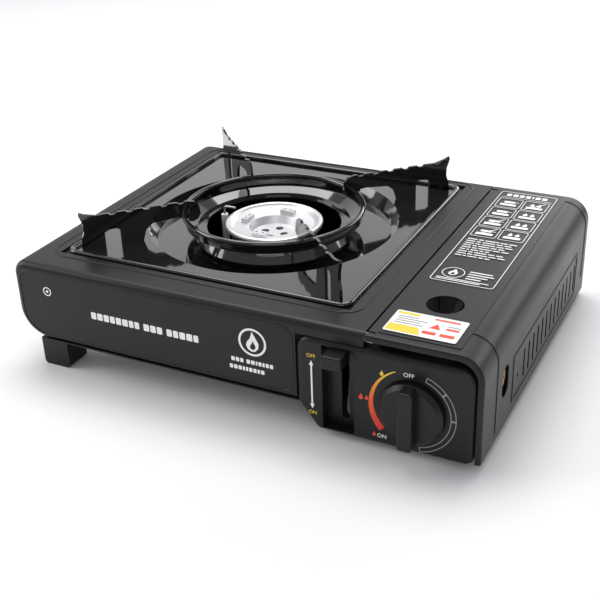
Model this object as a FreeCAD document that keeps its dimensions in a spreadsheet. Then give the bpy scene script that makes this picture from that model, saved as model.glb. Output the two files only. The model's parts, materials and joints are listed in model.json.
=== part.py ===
# Portable cassette stove: a left burner bay and a right cartridge bay under a hinged lid.
# Frame: +Z up, +Y towards the back, origin on the ground under the middle of the whole stove.
# Every driving size is a cell of the sheet "dims"; derived places are expressions of those cells.
import FreeCAD, Part
import math
import os
import re
import Sketcher

doc = FreeCAD.newDocument("camping_stove")
sheet = doc.addObject("Spreadsheet::Sheet", "dims")

SIZES = [
    ("overall_width", 342, "left wall of the casing to the lid's side"),
    ("overall_depth", 276, "front of the knob to the back wall"),
    ("deck_top", 80, "ground to the top deck"),
    ("knob_proud", 14, "knob in front of the bezel's face"),
    ("sheet_wall", 1, "pressed steel sheet"),
    ("plastic_wall", 2, "moulded bezel wall"),
    ("seat_gap", 0.3, "clearance between parts that only sit near each other"),
    ("run_gap", 0.05, "radial clearance of a running fit"),
    ("casing_bottom", 22, "ground to the burner bay's underside"),
    ("bay_bottom", 4, "ground to the cartridge bay's underside"),
    ("lid_width", 74.7, "lid from its seam to its side"),
    ("seam_gap", 1.4, "gap between deck and lid"),
    ("corner_low", 22, "radius of the casing's lower left corner"),
    ("corner_top", 10, "radius of the casing's upper left corner"),
    ("edge_front", 5, "radius of the casing's front outline"),
    ("edge_back", 8, "radius of the back outline"),
    ("lid_shoulder", 17, "radius between lid top and side"),
    ("lid_bottom", 7, "ground to the lid's lower edge"),
    ("lid_hem", 4, "inturned hem at the lid's front"),
    ("bead_rise", 0.4, "height of the lid's pressed beads"),
    ("bead_width", 1.4, "width of the lid's pressed beads"),
    ("lid_rear_drop", 18, "depth of the lid's rear wall"),
    ("sight_radius", 12, "round sight hole in the lid"),
    ("tray_size", 218, "side of the square drip tray"),
    ("tray_x", -35.5, "tray and burner centre across"),
    ("tray_y", 12.5, "tray and burner centre along"),
    ("tray_corner", 8, "radius of the tray's corners"),
    ("tray_sink", 2, "depth of the casing's pocket under the tray"),
    ("tray_margin", 2.2, "gap between tray and pocket wall"),
    ("enamel_wall", 0.9, "enamelled steel of the tray and ring"),
    ("moat_radius", 96.5, "tray's round well"),
    ("moat_depth", 10, "depth of the well"),
    ("tray_hole", 50, "radius of the hole round the burner"),
    ("ring_radius", 68, "rolled rim of the support ring"),
    ("ring_top", 90, "ground to the top of the rim"),
    ("ring_throat", 52, "radius of the ring's lower throat"),
    ("rim_roll", 1.8, "radius of the rolled rim"),
    ("arm_wall", 2, "pan support's sheet"),
    ("arm_peak", 107, "ground to the tips of the pan supports"),
    ("arm_inner", 55, "pan support's inner end from the burner's axis"),
    ("arm_outer", 142, "pan support's outer end from the burner's axis"),
    ("burner_radius", 36.5, "burner head"),
    ("burner_top", 78, "ground to the burner's rim"),
    ("tube_radius", 7.5, "mixing tube"),
    ("tube_level", 58, "ground to the mixing tube's axis"),
    ("pipe_radius", 2, "gas pipe"),
    ("pipe_level", 66, "ground to the gas pipe at the regulator"),
    ("pipe_x", 86, "gas pipe's run beside the partition"),
    ("knob_x", 127, "knob and cartridge axis across"),
    ("knob_level", 33.9, "ground to the knob's axis"),
    ("knob_radius", 21, "knob skirt"),
    ("grip_width", 9.5, "bar across the knob"),
    ("spindle_radius", 3, "valve spindle"),
    ("cartridge_level", 43, "ground to the cartridge's axis"),
    ("cartridge_radius", 33, "room for a standard cartridge"),
    ("lever_x", 80, "lock lever's plate across"),
    ("lever_wall", 3, "lock lever's plate"),
    ("lever_setback", 56, "bezel's face to the lever's pivot"),
    ("lever_pivot_level", 42.5, "ground to the lever's pivot"),
    ("lever_reach", 62, "pivot to the tab"),
    ("lever_rise", 19, "tab above the pivot when open"),
    ("lever_crank", 16, "pivot to the carrier pin"),
    ("pin_radius", 2, "lever's pins"),
    ("bezel_left", 49.5, "bezel's left edge"),
    ("bezel_right", 166.4, "bezel's right edge"),
    ("bezel_top", 70.5, "ground to the bezel's top"),
    ("bezel_depth", 14, "bezel from face to rim"),
    ("bezel_cut", 13.9, "width of the bezel's slanted lower corner"),
    ("partition_x", 90, "partition's left face"),
    ("foot_width", 22, "left feet"),
    ("hinge_radius", 0.75, "lid hinge pins"),
    ("cam_low", 8, "cam radius with the knob off"),
    ("cam_lift", 4, "cam lift over the knob's whole turn"),
    ("knob_turn", 140, "degrees from off to ignition"),
]
for row, (alias, size, meaning) in enumerate(SIZES, start=1):
    sheet.set(f"A{row}", alias)
    sheet.set(f"B{row}", str(size))
    sheet.set(f"C{row}", meaning)
    sheet.setAlias(f"B{row}", alias)
doc.recompute()

PLACES = {
    "left": "-overall_width/2",
    "right": "overall_width/2",
    "front": "knob_proud - overall_depth/2",
    "back": "overall_depth/2",
    "casing_front": "front + 1",
    "lid_left": "right - lid_width",
    "deck_right": "lid_left - seam_gap",
    "deck_under": "deck_top - sheet_wall",
    "lip_top": "casing_bottom + sheet_wall",
    "half_tray": "tray_size/2",
    "pocket_half": "half_tray + tray_margin",
    "tray_floor": "deck_top - tray_sink",
    "moat_floor": "tray_floor - moat_depth",
    "regulator_front": "front + 26",
    "regulator_back": "front + 51",
    "hinge_x": "lid_left + 1.3",
    "lid_side": "right - bead_rise",
    "hinge_level": "deck_top - 2",
    "floor_top": "bay_bottom + sheet_wall",
    "lever_pivot_y": "front + lever_setback",
    "lever_left": "lever_x - lever_wall/2",
    "lever_right": "lever_x + lever_wall/2",
    "tab_level": "lever_pivot_level + lever_rise",
    "tab_y": "lever_pivot_y - lever_reach",
    "inlet_y": "front + 44",
}
aliases = {alias for alias, size, meaning in SIZES}


def full(expression):
    text = str(expression)

    def swap(match):
        word = match.group(0)
        if word in PLACES:
            return "(" + full(PLACES[word]) + ")"
        if word in aliases:
            return "dims." + word
        return word

    return re.sub(r"[a-z][a-z_]*", swap, text)


def value(expression):
    return float(sheet.evalExpression(full(expression)))


def bind(thing, prop, expression):
    thing.setExpression(prop, full(expression))


def place(thing, x, y, z, rotation=None):
    thing.Placement = FreeCAD.Placement(FreeCAD.Vector(), rotation or FreeCAD.Rotation())
    for axis, expression in zip("xyz", (x, y, z)):
        bind(thing, f"Placement.Base.{axis}", expression)


def box(name, x_span, y_span, z_span):
    block = doc.addObject("Part::Box", name)
    for prop, span in zip(("Length", "Width", "Height"), (x_span, y_span, z_span)):
        bind(block, prop, f"({span[1]}) - ({span[0]})")
    place(block, x_span[0], y_span[0], z_span[0])
    return block


AXIS_TURN = {
    "x": FreeCAD.Rotation(FreeCAD.Vector(0, 1, 0), 90),
    "y": FreeCAD.Rotation(FreeCAD.Vector(1, 0, 0), -90),
    "z": FreeCAD.Rotation(),
}


def rod(name, axis, start, radius, length):
    # cylinder from start along +axis
    cylinder = doc.addObject("Part::Cylinder", name)
    bind(cylinder, "Radius", radius)
    bind(cylinder, "Height", length)
    place(cylinder, *start, AXIS_TURN[axis])
    return cylinder


def cone(name, axis, start, radius_a, radius_b, length):
    taper = doc.addObject("Part::Cone", name)
    bind(taper, "Radius1", radius_a)
    bind(taper, "Radius2", radius_b)
    bind(taper, "Height", length)
    place(taper, *start, AXIS_TURN[axis])
    return taper


def fuse(name, pieces):
    union = doc.addObject("Part::MultiFuse", name)
    union.Shapes = pieces
    return union


def cut(name, base, tools):
    result = doc.addObject("Part::Cut", name)
    result.Base = base
    result.Tool = tools[0] if len(tools) == 1 else fuse(name + "_tools", tools)
    return result


PLANE_SIGN = {"XY_Plane": 1, "XZ_Plane": -1, "YZ_Plane": 1}


def add_loop(sketch, loop):
    # a loop is a closed polygon of (x, y) or one circle (x, y, radius)
    first = sketch.GeometryCount
    if isinstance(loop, tuple):
        x, y, radius = loop
        centre = FreeCAD.Vector(value(x), value(y), 0)
        sketch.addGeometry(Part.Circle(centre, FreeCAD.Vector(0, 0, 1), value(radius)), False)
        held = (("DistanceX", x, (first, 3)), ("DistanceY", y, (first, 3)), ("Radius", radius, (first,)))
        for kind, expression, where in held:
            number = sketch.addConstraint(Sketcher.Constraint(kind, *where, value(expression)))
            bind(sketch, f"Constraints[{number}]", expression)
        return
    spots = [FreeCAD.Vector(value(x), value(y), 0) for x, y in loop]
    count = len(spots)
    for i in range(count):
        sketch.addGeometry(Part.LineSegment(spots[i], spots[(i + 1) % count]), False)
    for i in range(count):
        sketch.addConstraint(Sketcher.Constraint("Coincident", first + i, 2, first + (i + 1) % count, 1))
        for kind, expression, number in (("DistanceX", loop[i][0], spots[i].x), ("DistanceY", loop[i][1], spots[i].y)):
            index = sketch.addConstraint(Sketcher.Constraint(kind, first + i, 1, number))
            bind(sketch, f"Constraints[{index}]", expression)


def new_sketch(body, plane, loops, offset):
    sketch = body.newObject("Sketcher::SketchObject", body.Name + "_sketch")
    origin = [feature for feature in body.Origin.OriginFeatures if feature.Role == plane][0]
    sketch.AttachmentSupport = [(origin, "")]
    sketch.MapMode = "FlatFace"
    bind(sketch, "AttachmentOffset.Base.z", offset)
    for loop in loops:
        add_loop(sketch, loop)
    return sketch


def round_edges(body, last, choose, radius):
    # round the edges that choose() accepts; the radius is bound to the sheet
    doc.recompute()
    names = [f"Edge{i + 1}" for i, edge in enumerate(last.Shape.Edges) if choose(edge)]
    fillet = body.newObject("PartDesign::Fillet", body.Name + "_round")
    fillet.Base = (last, names)
    bind(fillet, "Radius", radius)
    return fillet


def prism(name, plane, loops, start, length, rounds=()):
    # pad from start to start + length along the world axis across the plane
    body = doc.addObject("PartDesign::Body", name)
    far = f"({start}) + ({length})"
    offset = start if PLANE_SIGN[plane] > 0 else f"-({far})"
    pad = body.newObject("PartDesign::Pad", name + "_pad")
    pad.Profile = new_sketch(body, plane, loops, offset)
    bind(pad, "Length", length)
    last = pad
    for choose, radius in rounds:
        last = round_edges(body, last, choose, radius)
    return body


def turned(name, outline, x, y, z="0"):
    # outline of (radius, height) turned round a vertical axis at x, y
    body = doc.addObject("PartDesign::Body", name)
    turn = body.newObject("PartDesign::Revolution", name + "_turn")
    sketch = new_sketch(body, "XZ_Plane", [outline], "0")
    turn.Profile = sketch
    turn.ReferenceAxis = (sketch, ["V_Axis"])
    turn.Angle = 360
    place(body, x, y, z)
    return body


def solid(name, shape):
    feature = doc.addObject("Part::Feature", name)
    feature.Shape = shape
    return feature


def bent_path(points, bends):
    # straight runs joined by tangent arcs, one radius for each corner
    spots = [FreeCAD.Vector(*point) for point in points]
    edges = []
    here = spots[0]
    for before, corner, after, bend in zip(spots, spots[1:], spots[2:], bends):
        come = (corner - before).normalize()
        leave = (after - corner).normalize()
        setback = bend * math.tan(come.getAngle(leave) / 2)
        start = corner - come * setback
        end = corner + leave * setback
        inward = (leave - come).normalize()
        centre = corner + inward * math.hypot(bend, setback)
        edges.append(Part.LineSegment(here, start).toShape())
        edges.append(Part.Arc(start, centre - inward * bend, end).toShape())
        here = end
    edges.append(Part.LineSegment(here, spots[-1]).toShape())
    return Part.Wire(edges)


def bent_rod(name, points, radius, bends):
    path = bent_path(points, bends)
    along = path.Edges[0].tangentAt(0)
    ring = Part.Wire([Part.Circle(FreeCAD.Vector(*points[0]), along, radius).toShape()])
    return solid(name, path.makePipeShell([ring], True, False))


def spot(x, y, z):
    return (value(x), value(y), value(z))


def rectangle(x_span, y_span):
    return [(x_span[0], y_span[0]), (x_span[1], y_span[0]), (x_span[1], y_span[1]), (x_span[0], y_span[1])]


def along(edge, axis):
    if edge.Curve.TypeId != "Part::GeomLine":
        return False
    return abs(getattr(edge.tangentAt(edge.FirstParameter), axis)) > 0.999


def near(edge, **where):
    middle = edge.CenterOfMass
    return all(abs(getattr(middle, axis) - spot_value) < 0.6 for axis, spot_value in where.items())


def in_plane(edge, axis, level):
    box_of = edge.BoundBox
    low = getattr(box_of, axis.upper() + "Min")
    high = getattr(box_of, axis.upper() + "Max")
    return abs(low - level) < 0.01 and abs(high - level) < 0.01


NODES = {}


def keep(node, piece):
    piece.Label = node
    NODES[node] = piece


def shell_block(name, x_span, y_span, z_span, side, radii):
    # block whose edges along Y are rounded at one side, and whose front and back outlines are rounded
    body = prism(name, "XZ_Plane", [rectangle(x_span, z_span)], y_span[0], f"({y_span[1]}) - ({y_span[0]})")
    low_radius, top_radius, front_radius, back_radius = radii
    edge_x = value(x_span[0] if side == "left" else x_span[1])
    last = body.Tip
    if low_radius:
        last = round_edges(body, last, lambda e: along(e, "y") and near(e, x=edge_x, z=value(z_span[0])), low_radius)
    last = round_edges(body, last, lambda e: along(e, "y") and near(e, x=edge_x, z=value(z_span[1])), top_radius)
    other_x = value(x_span[1] if side == "left" else x_span[0])
    for level, radius in ((y_span[0], front_radius), (y_span[1], back_radius)):
        def outline(edge, level=value(level)):
            straight_base = near(edge, z=value(z_span[0])) and along(edge, "x")
            return in_plane(edge, "y", level) and not near(edge, x=other_x) and not straight_base
        if radius:
            last = round_edges(body, last, outline, radius)
    return body


def bead_loop(name, plane, spots, level, bends, radius="0.9"):
    # pressed bead: a round rod along a closed rounded rectangle, from its lower right corner round
    (x0, y0), (x1, y1) = spots
    x0, y0, x1, y1 = (value(part) for part in (x0, y0, x1, y1))
    corners = [(x1, y0), (x1, y1), (x0, y1), (x0, y0)]
    flat = [((x0 + x1) / 2, y0)] + corners + [((x0 + x1) / 2, y0)]
    depth = value(level)
    points = [(x, y, depth) if plane == "z" else (x, depth, y) for x, y in flat]
    return bent_rod(name, points, value(radius), bends)


# main casing: one pressed shell over the burner bay
casing_outer = shell_block(
    "casing_outer", ("left", "deck_right"), ("casing_front", "back"), ("casing_bottom", "deck_top"),
    "left", ("corner_low", "corner_top", "edge_front", "edge_back"))
casing_inner = shell_block(
    "casing_inner", ("left + sheet_wall", "deck_right - sheet_wall"),
    ("casing_front + sheet_wall", "back - sheet_wall"), ("lip_top", "deck_under"),
    "left", ("corner_low - sheet_wall", "corner_top - sheet_wall", "edge_front - sheet_wall", "edge_back - sheet_wall"))
lip_hole = box("lip_hole", ("left + 32", "deck_right + 1"), ("casing_front + 10", "back - 10"),
               ("casing_bottom - 1", "lip_top + 0.5"))
flange_cut = box("flange_cut", ("deck_right - 3", "deck_right + 1"), ("casing_front - 1", "back + 1"),
                 ("casing_bottom - 1", "deck_top - 9"))
bezel_cut = box("bezel_cut", ("bezel_left - seat_gap", "deck_right + 1"), ("casing_front - 1", "casing_front + 4"),
                ("casing_bottom - 1", "bezel_top + seat_gap"))
bezel_room = box("bezel_room", ("bezel_left - seat_gap", "deck_right + 1"), ("casing_front - 1", "front + bezel_depth + 3"),
                 ("casing_bottom - 1", "lip_top + 1"))
pocket_x = ("tray_x - pocket_half", "tray_x + pocket_half")
pocket_y = ("tray_y - pocket_half", "tray_y + pocket_half")
pocket_hole = box("pocket_hole", pocket_x, pocket_y, ("deck_under - 1", "deck_top + 1"))
pocket_floor = prism("pocket_floor", "XY_Plane",
                     [rectangle(("tray_x - pocket_half - 1", "tray_x + pocket_half + 1"),
                                ("tray_y - pocket_half - 1", "tray_y + pocket_half + 1")),
                      ("tray_x", "tray_y", "moat_radius + 4")],
                     "tray_floor - sheet_wall", "sheet_wall")
pocket_walls = prism("pocket_walls", "XY_Plane",
                     [rectangle(("tray_x - pocket_half - 1", "tray_x + pocket_half + 1"),
                                ("tray_y - pocket_half - 1", "tray_y + pocket_half + 1")),
                      rectangle(pocket_x, pocket_y)],
                     "tray_floor - sheet_wall", "deck_top - tray_floor + sheet_wall")
casing_shell = cut("casing_shell", casing_outer,
                   [casing_inner, lip_hole, flange_cut, bezel_cut, bezel_room, pocket_hole])
deck_bead = bead_loop("deck_bead", "z",
                      (("tray_x - pocket_half - 7", "tray_y - pocket_half - 5"),
                       ("tray_x + pocket_half + 7", "tray_y + pocket_half + 6")), "deck_top - 0.3", [14] * 4)
front_bead = bead_loop("front_bead", "y",
                       (("left + 5", "casing_bottom + 4"), ("bezel_left - 2.5", "deck_top - 6")),
                       "casing_front + 0.4", [9, 9, 9, 18])
keep("main_casing", fuse("main_casing", [casing_shell, pocket_floor, pocket_walls, deck_bead, front_bead]))

# base pan: a flat plate under the burner bay and a bent tray under the cartridge bay
pan_under = box("pan_under", ("left + 24", "bezel_left + 1"), ("casing_front + 1", "back - 3"),
                ("casing_bottom - sheet_wall", "casing_bottom"))
tray_outline = [("bezel_left", "casing_bottom"), ("bezel_left", "casing_bottom - sheet_wall"),
                ("bezel_left + 0.8", "casing_bottom - sheet_wall"), ("bezel_left + bezel_cut + 0.8", "bay_bottom"),
                ("lid_side - 2.5", "bay_bottom"), ("lid_side - 2.5", "bay_bottom + 12"),
                ("lid_side - 2.5 - sheet_wall", "bay_bottom + 12"), ("lid_side - 2.5 - sheet_wall", "floor_top"),
                ("bezel_left + bezel_cut + 1.2", "floor_top"), ("bezel_left + 1.2", "casing_bottom")]
bay_tray = prism("bay_tray", "XZ_Plane", [tray_outline], "front + bezel_depth + 1",
                 "overall_depth - knob_proud - bezel_depth - 4")
pan_front_cut = box("pan_front_cut", ("bezel_left - seat_gap", "bezel_left + 5"), ("front - 1", "front + bezel_depth + 1"),
                    ("casing_bottom - 3", "casing_bottom + 1"))
keep("base_pan", cut("base_pan", fuse("pan_sheets", [pan_under, bay_tray]), [pan_front_cut]))

# bay rear plate stands on the base pan behind the cartridge
rear_outline = [("bezel_left + bezel_cut + 3", "floor_top"), ("right - 5", "floor_top"), ("right - 5", "deck_top - 20"),
                ("right - 20", "deck_top - 5"), ("deck_right + 2", "deck_top - 5"),
                ("deck_right + 2", "casing_bottom - 2"), ("bezel_left + bezel_cut + 3", "casing_bottom - 2")]
keep("bay_rear_plate", prism("bay_rear_plate", "XZ_Plane", [rear_outline], "back - 5", "sheet_wall"))

# partition between the burner bay and the cartridge bay
partition_y = ("front + 18", "back - 12")
partition_wall = box("partition_wall", ("partition_x", "partition_x + sheet_wall"), partition_y, ("floor_top + 2", "deck_under"))
partition_foot = box("partition_foot", ("partition_x", "partition_x + 10"), partition_y, ("floor_top", "floor_top + sheet_wall"))
partition_foot_web = box("partition_foot_web", ("partition_x", "partition_x + sheet_wall"), partition_y, ("floor_top", "floor_top + 2"))
lip_clear = box("lip_clear", ("partition_x - 1", "partition_x + 2"), ("back - 13", "back"), ("casing_bottom - 1", "lip_top + 1"))
pipe_hole = rod("pipe_hole", "x", ("partition_x - 2", "front + 38", "pipe_level"), "pipe_radius + 2.2", "5")
pivot_hole = rod("pivot_hole", "x", ("partition_x - 2", "lever_pivot_y", "lever_pivot_level"), "pin_radius", "5")
crank_slot = box("crank_slot", ("partition_x - 2", "partition_x + 3"), ("lever_pivot_y - 9", "lever_pivot_y + 9"),
                 ("lever_pivot_level + lever_crank - 4.5", "lever_pivot_level + lever_crank + 3.5"))
vents = [box(f"partition_vent_{i}", ("partition_x - 2", "partition_x + 3"),
             (f"back - 40 - {i} * 24", f"back - 26 - {i} * 24"), ("deck_under - 12", "deck_under - 8")) for i in range(6)]
wall_tools = [pipe_hole, pivot_hole, crank_slot] + vents
keep("bay_partition", cut("bay_partition", fuse("partition_sheet", [partition_wall, partition_foot, partition_foot_web]),
                          wall_tools))

# cartridge lid: top, shoulder and side in one shell, open towards the casing
lid_outer = shell_block("lid_outer", ("lid_left", "lid_side"), ("front", "back"), ("lid_bottom", "deck_top"),
                        "right", (None, "lid_shoulder", "2", "edge_back"))
lid_inner = shell_block("lid_inner", ("lid_left - 3", "lid_side - sheet_wall"),
                        ("front + sheet_wall", "back - sheet_wall"), ("lid_bottom - 3", "deck_under"), "right",
                        (None, "lid_shoulder - sheet_wall", "1", "edge_back - sheet_wall"))
hem_hole = shell_block("hem_hole", ("lid_left - 3", "right - lid_hem"), ("front - 2", "front + 3"),
                       ("lid_bottom - 3", "deck_top - lid_hem"), "right",
                       (None, "lid_shoulder - lid_hem", "0.5", "0.5"))
rear_cut = box("rear_cut", ("lid_left - 3", "lid_side - sheet_wall"), ("back - 4", "back + 1"),
               ("lid_bottom - 1", "deck_top - lid_rear_drop"))
# pressed beads: lines along the top's front and side, hoops over the shoulder, and a frame round the vents
bead_level = ("deck_top - sheet_wall/2", "deck_top + bead_rise")
lid_beads = [box("bead_across", ("lid_left + 6", "right - lid_shoulder"), ("front + 6.5", "front + 6.5 + bead_width"),
                 bead_level),
             box("bead_along", ("right - lid_shoulder - bead_width", "right - lid_shoulder"),
                 ("front + 6.5", "back - 16"), bead_level)]
for end, middle, foot in (("front", "front + 27.5", "lid_bottom + 6"), ("rear", "back - 16", "lid_bottom + 13")):
    hoop_skin = shell_block(f"hoop_{end}_skin", ("right - lid_shoulder - bead_width", "right"),
                            (f"{middle} - bead_width/2", f"{middle} + bead_width/2"), (foot, "deck_top + bead_rise"),
                            "right", (None, "lid_shoulder + bead_rise", None, None))
    hoop_room = shell_block(f"hoop_{end}_room", ("lid_left + 3", "lid_side - sheet_wall/2"),
                            (f"{middle} - bead_width", f"{middle} + bead_width"),
                            ("lid_bottom - 5", "deck_top - sheet_wall/2"), "right",
                            (None, "lid_shoulder - sheet_wall/2", None, None))
    lid_beads.append(cut(f"hoop_{end}", hoop_skin, [hoop_room]))
vent_frame = box("vent_frame", ("lid_side - sheet_wall/2", "right"), ("front + 62", "back - 36"),
                 ("lid_bottom + 8", "lid_bottom + 42"))
vent_field = box("vent_field", ("lid_side - 3", "right + 3"), ("front + 62 + bead_width", "back - 36 - bead_width"),
                 ("lid_bottom + 8 + bead_width", "lid_bottom + 42 - bead_width"))
lid_beads.append(cut("vent_bead", vent_frame, [vent_field]))
sight_hole = rod("sight_hole", "z", ("knob_x", "front + 55", "deck_top - 5"), "sight_radius", "10")
inlet_hole = [rod(f"inlet_hole_{i}", "x", ("right - 5", "inlet_y + 1", f"cartridge_level - 2 + {offset}"), "6.5", "10")
              for i, offset in enumerate((-4.5, 4.5))]
inlet_slot = box("inlet_slot", ("right - 5", "right + 5"), ("inlet_y + 1 - 6.5", "inlet_y + 1 + 6.5"),
                 ("cartridge_level - 6.5", "cartridge_level + 2.5"))
lid_vents = []
for i in range(13):
    middle = f"front + 87.5 + {i} * 11"
    lid_vents.append(box(f"lid_vent_{i}", ("right - 5", "right + 5"), (f"{middle} - 1.6", f"{middle} + 1.6"),
                         ("lid_bottom + 13.5", "lid_bottom + 34.5")))
lid_vents.append(box("lid_vent_short", ("right - 5", "right + 5"), ("front + 71.8", "front + 74.2"),
                     ("lid_bottom + 21", "lid_bottom + 24")))
# lid hinge: ears under the lid turn on short pins held by brackets on the casing's flange
ear_width = "2"
bracket_width = "1.5"
hinge_ends = {"front": ("front + 2.2", "front + 4.4", "front + 2.4"),
              "rear": ("back - 12", "back - 13.7", "back - 13.7")}
notches = [box(f"lid_notch_{end}", ("lid_left - 1", "lid_left + 5"),
               (f"{starts[1]} - seat_gap", f"{starts[1]} + {bracket_width} + seat_gap"),
               ("deck_under - 1", "deck_top + 1")) for end, starts in hinge_ends.items()]
lid_tools = [lid_inner, hem_hole, rear_cut, sight_hole, inlet_slot] + inlet_hole + lid_vents + notches
lid_shell = cut("lid_shell", lid_outer, lid_tools)
ears = []
for end, (ear_start, bracket_start, pin_start) in hinge_ends.items():
    knuckle = rod(f"ear_{end}_round", "y", ("hinge_x", ear_start, "hinge_level"), "1.6", ear_width)
    neck = box(f"ear_{end}_neck", ("hinge_x", "hinge_x + 6"), (ear_start, f"{ear_start} + {ear_width}"),
               ("hinge_level - 1.6", "deck_under + 0.5"))
    bore = rod(f"ear_{end}_bore", "y", ("hinge_x", f"{ear_start} - 1", "hinge_level"), "hinge_radius + run_gap", "4")
    ears.append(cut(f"ear_{end}", fuse(f"ear_{end}_plate", [knuckle, neck]), [bore]))
    plate = box(f"bracket_{end}_plate", ("deck_right", "hinge_x + 2"), (bracket_start, f"{bracket_start} + {bracket_width}"),
                ("hinge_level - 5", "hinge_level + 1.1"))
    hole = rod(f"bracket_{end}_hole", "y", ("hinge_x", f"{bracket_start} - 1", "hinge_level"), "hinge_radius", "4")
    keep(f"hinge_bracket_{end}", cut(f"hinge_bracket_{end}", plate, [hole]))
    keep(f"hinge_pin_{end}", rod(f"hinge_pin_{end}", "y", ("hinge_x", pin_start, "hinge_level"), "hinge_radius", "3.5"))
keep("cartridge_lid", fuse("cartridge_lid", [lid_shell] + ears + lid_beads))

# feet
for end, start in (("front", "casing_front + 2"), ("rear", "back - 24")):
    leg = prism(f"left_foot_{end}", "XZ_Plane",
                [rectangle(("left + 15", "left + 15 + foot_width"), ("0", "casing_bottom - sheet_wall"))], start, "20",
                [(lambda e: along(e, "y") and near(e, z=0), "3")])
    hollow = box(f"foot_{end}_hollow", ("left + 17", "left + 13 + foot_width"), (f"{start} + 2", f"{start} + 18"),
                 ("3", "casing_bottom"))
    keep(f"left_foot_{end}", cut(f"left_foot_{end}_moulding", leg, [hollow]))
right_feet = []
for i, (x, y) in enumerate((("bezel_left + 30", "front + 26"), ("right - 14", "front + 26"),
                            ("bezel_left + 30", "back - 18"), ("right - 14", "back - 18"))):
    right_feet.append(cone(f"right_foot_{i}", "z", (x, y, "0"), "5", "6", "bay_bottom"))
keep("right_feet", doc.addObject("Part::Compound", "right_feet"))
NODES["right_feet"].Links = right_feet

# drip tray: rolled square rim, flat deck, round well and a raised collar round the burner
half_top = rectangle(("tray_x - half_tray", "tray_x + half_tray"), ("tray_y - half_tray", "tray_y + half_tray"))


def upright_corner(edge):
    return along(edge, "z")


tray_deck = prism("tray_deck", "XY_Plane", [half_top, ("tray_x", "tray_y", "moat_radius - 3")],
                  "tray_floor", "enamel_wall", [(upright_corner, "tray_corner")])
corner_x = [value(f"tray_x + {sign} * (half_tray - rim_roll)") for sign in (-1, 1)]
corner_y = [value(f"tray_y + {sign} * (half_tray - rim_roll)") for sign in (-1, 1)]
rim_level = value("tray_floor + rim_roll")
rim_points = [(value("tray_x"), corner_y[0], rim_level), (corner_x[1], corner_y[0], rim_level),
              (corner_x[1], corner_y[1], rim_level), (corner_x[0], corner_y[1], rim_level),
              (corner_x[0], corner_y[0], rim_level), (value("tray_x"), corner_y[0], rim_level)]
tray_rim = bent_rod("tray_rim", rim_points, value("rim_roll"), [value("tray_corner - rim_roll")] * 4)
well_outline = [("moat_radius + 1", "tray_floor + enamel_wall"), ("moat_radius + 1", "tray_floor"),
                ("moat_radius - 3.5", "tray_floor"), ("moat_radius - 9", "moat_floor"),
                ("tray_hole + 8", "moat_floor"), ("tray_hole + 4", "moat_floor + 7"),
                ("tray_hole", "moat_floor + 7"), ("tray_hole", "moat_floor + 7 + enamel_wall"),
                ("tray_hole + 4.6", "moat_floor + 7 + enamel_wall"), ("tray_hole + 8.5", "moat_floor + enamel_wall"),
                ("moat_radius - 9.6", "moat_floor + enamel_wall"), ("moat_radius - 4", "tray_floor + enamel_wall")]
tray_well = turned("tray_well", well_outline, "tray_x", "tray_y")
keep("drip_tray", fuse("drip_tray", [tray_deck, tray_rim, tray_well]))

# support ring: a tapered collar with a rolled rim, standing on the tray round the burner
ring_foot = "moat_floor + 7 + enamel_wall"
ring_outline = [("ring_throat", ring_foot), ("ring_throat + 5", ring_foot), ("ring_radius - 2", "ring_top - 9"),
                ("ring_radius - 1", "ring_top - 2"), ("ring_radius - 1.9", "ring_top - 2"),
                ("ring_radius - 2.9", "ring_top - 8.6"), ("ring_throat + 4.6", f"{ring_foot} + enamel_wall"),
                ("ring_throat", f"{ring_foot} + enamel_wall")]
ring_wall = turned("ring_wall", ring_outline, "tray_x", "tray_y")
ring_rim = doc.addObject("Part::Torus", "ring_rim")
bind(ring_rim, "Radius1", "ring_radius - rim_roll")
bind(ring_rim, "Radius2", "rim_roll")
place(ring_rim, "tray_x", "tray_y", "ring_top - rim_roll")
keep("support_ring", fuse("support_ring", [ring_wall, ring_rim]))


# pan supports: stamped sheet on the diagonals, hooked over the ring and standing on the tray
arm_foot = "tray_floor + enamel_wall"
arm_outline = [("arm_inner", "arm_peak - 14"), ("arm_inner + 1", "arm_peak - 8"), ("arm_inner + 4", "arm_peak - 4.5"),
               ("arm_inner + 9", "arm_peak - 3.4")]
for i in range(5):
    dip = f"arm_inner + 14 + {i} * 12.25"
    arm_outline += [(f"{dip} - 3", "arm_peak - 3.4"), (f"{dip} - 1.5", "arm_peak - 4.8"),
                    (f"{dip} + 1.5", "arm_peak - 4.8"), (f"{dip} + 3", "arm_peak - 3.4")]
arm_outline += [("arm_outer - 12", "arm_peak - 3.6"), ("arm_outer - 4", "arm_peak - 1.6"), ("arm_outer - 0.5", "arm_peak"),
                ("arm_outer", "arm_peak - 2"), ("arm_outer - 2.4", "arm_peak - 9"), ("arm_outer - 2.6", "arm_peak - 15"),
                ("arm_outer - 0.5", "arm_peak - 21"), ("arm_outer", arm_foot),
                ("arm_outer - 17", arm_foot), ("arm_outer - 17", "arm_peak - 17"), ("arm_outer - 19", "arm_peak - 15.5"),
                ("arm_outer - 26", "arm_peak - 15.5"), ("arm_outer - 28", "arm_peak - 17"), ("arm_outer - 28", arm_foot),
                ("moat_radius + 1.5", arm_foot), ("moat_radius - 1", "arm_peak - 20"), ("moat_radius - 6", "arm_peak - 16"),
                ("ring_radius + 5", "arm_peak - 14.5"), ("ring_radius + seat_gap", "arm_peak - 15"),
                ("ring_radius + seat_gap", "ring_top + seat_gap"), ("ring_radius - 3.6", "ring_top + seat_gap"),
                ("ring_radius - 4.2", "arm_peak - 19"), ("ring_radius - 7", "arm_peak - 19.5"),
                ("arm_inner + 2.5", "arm_peak - 18")]
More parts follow.
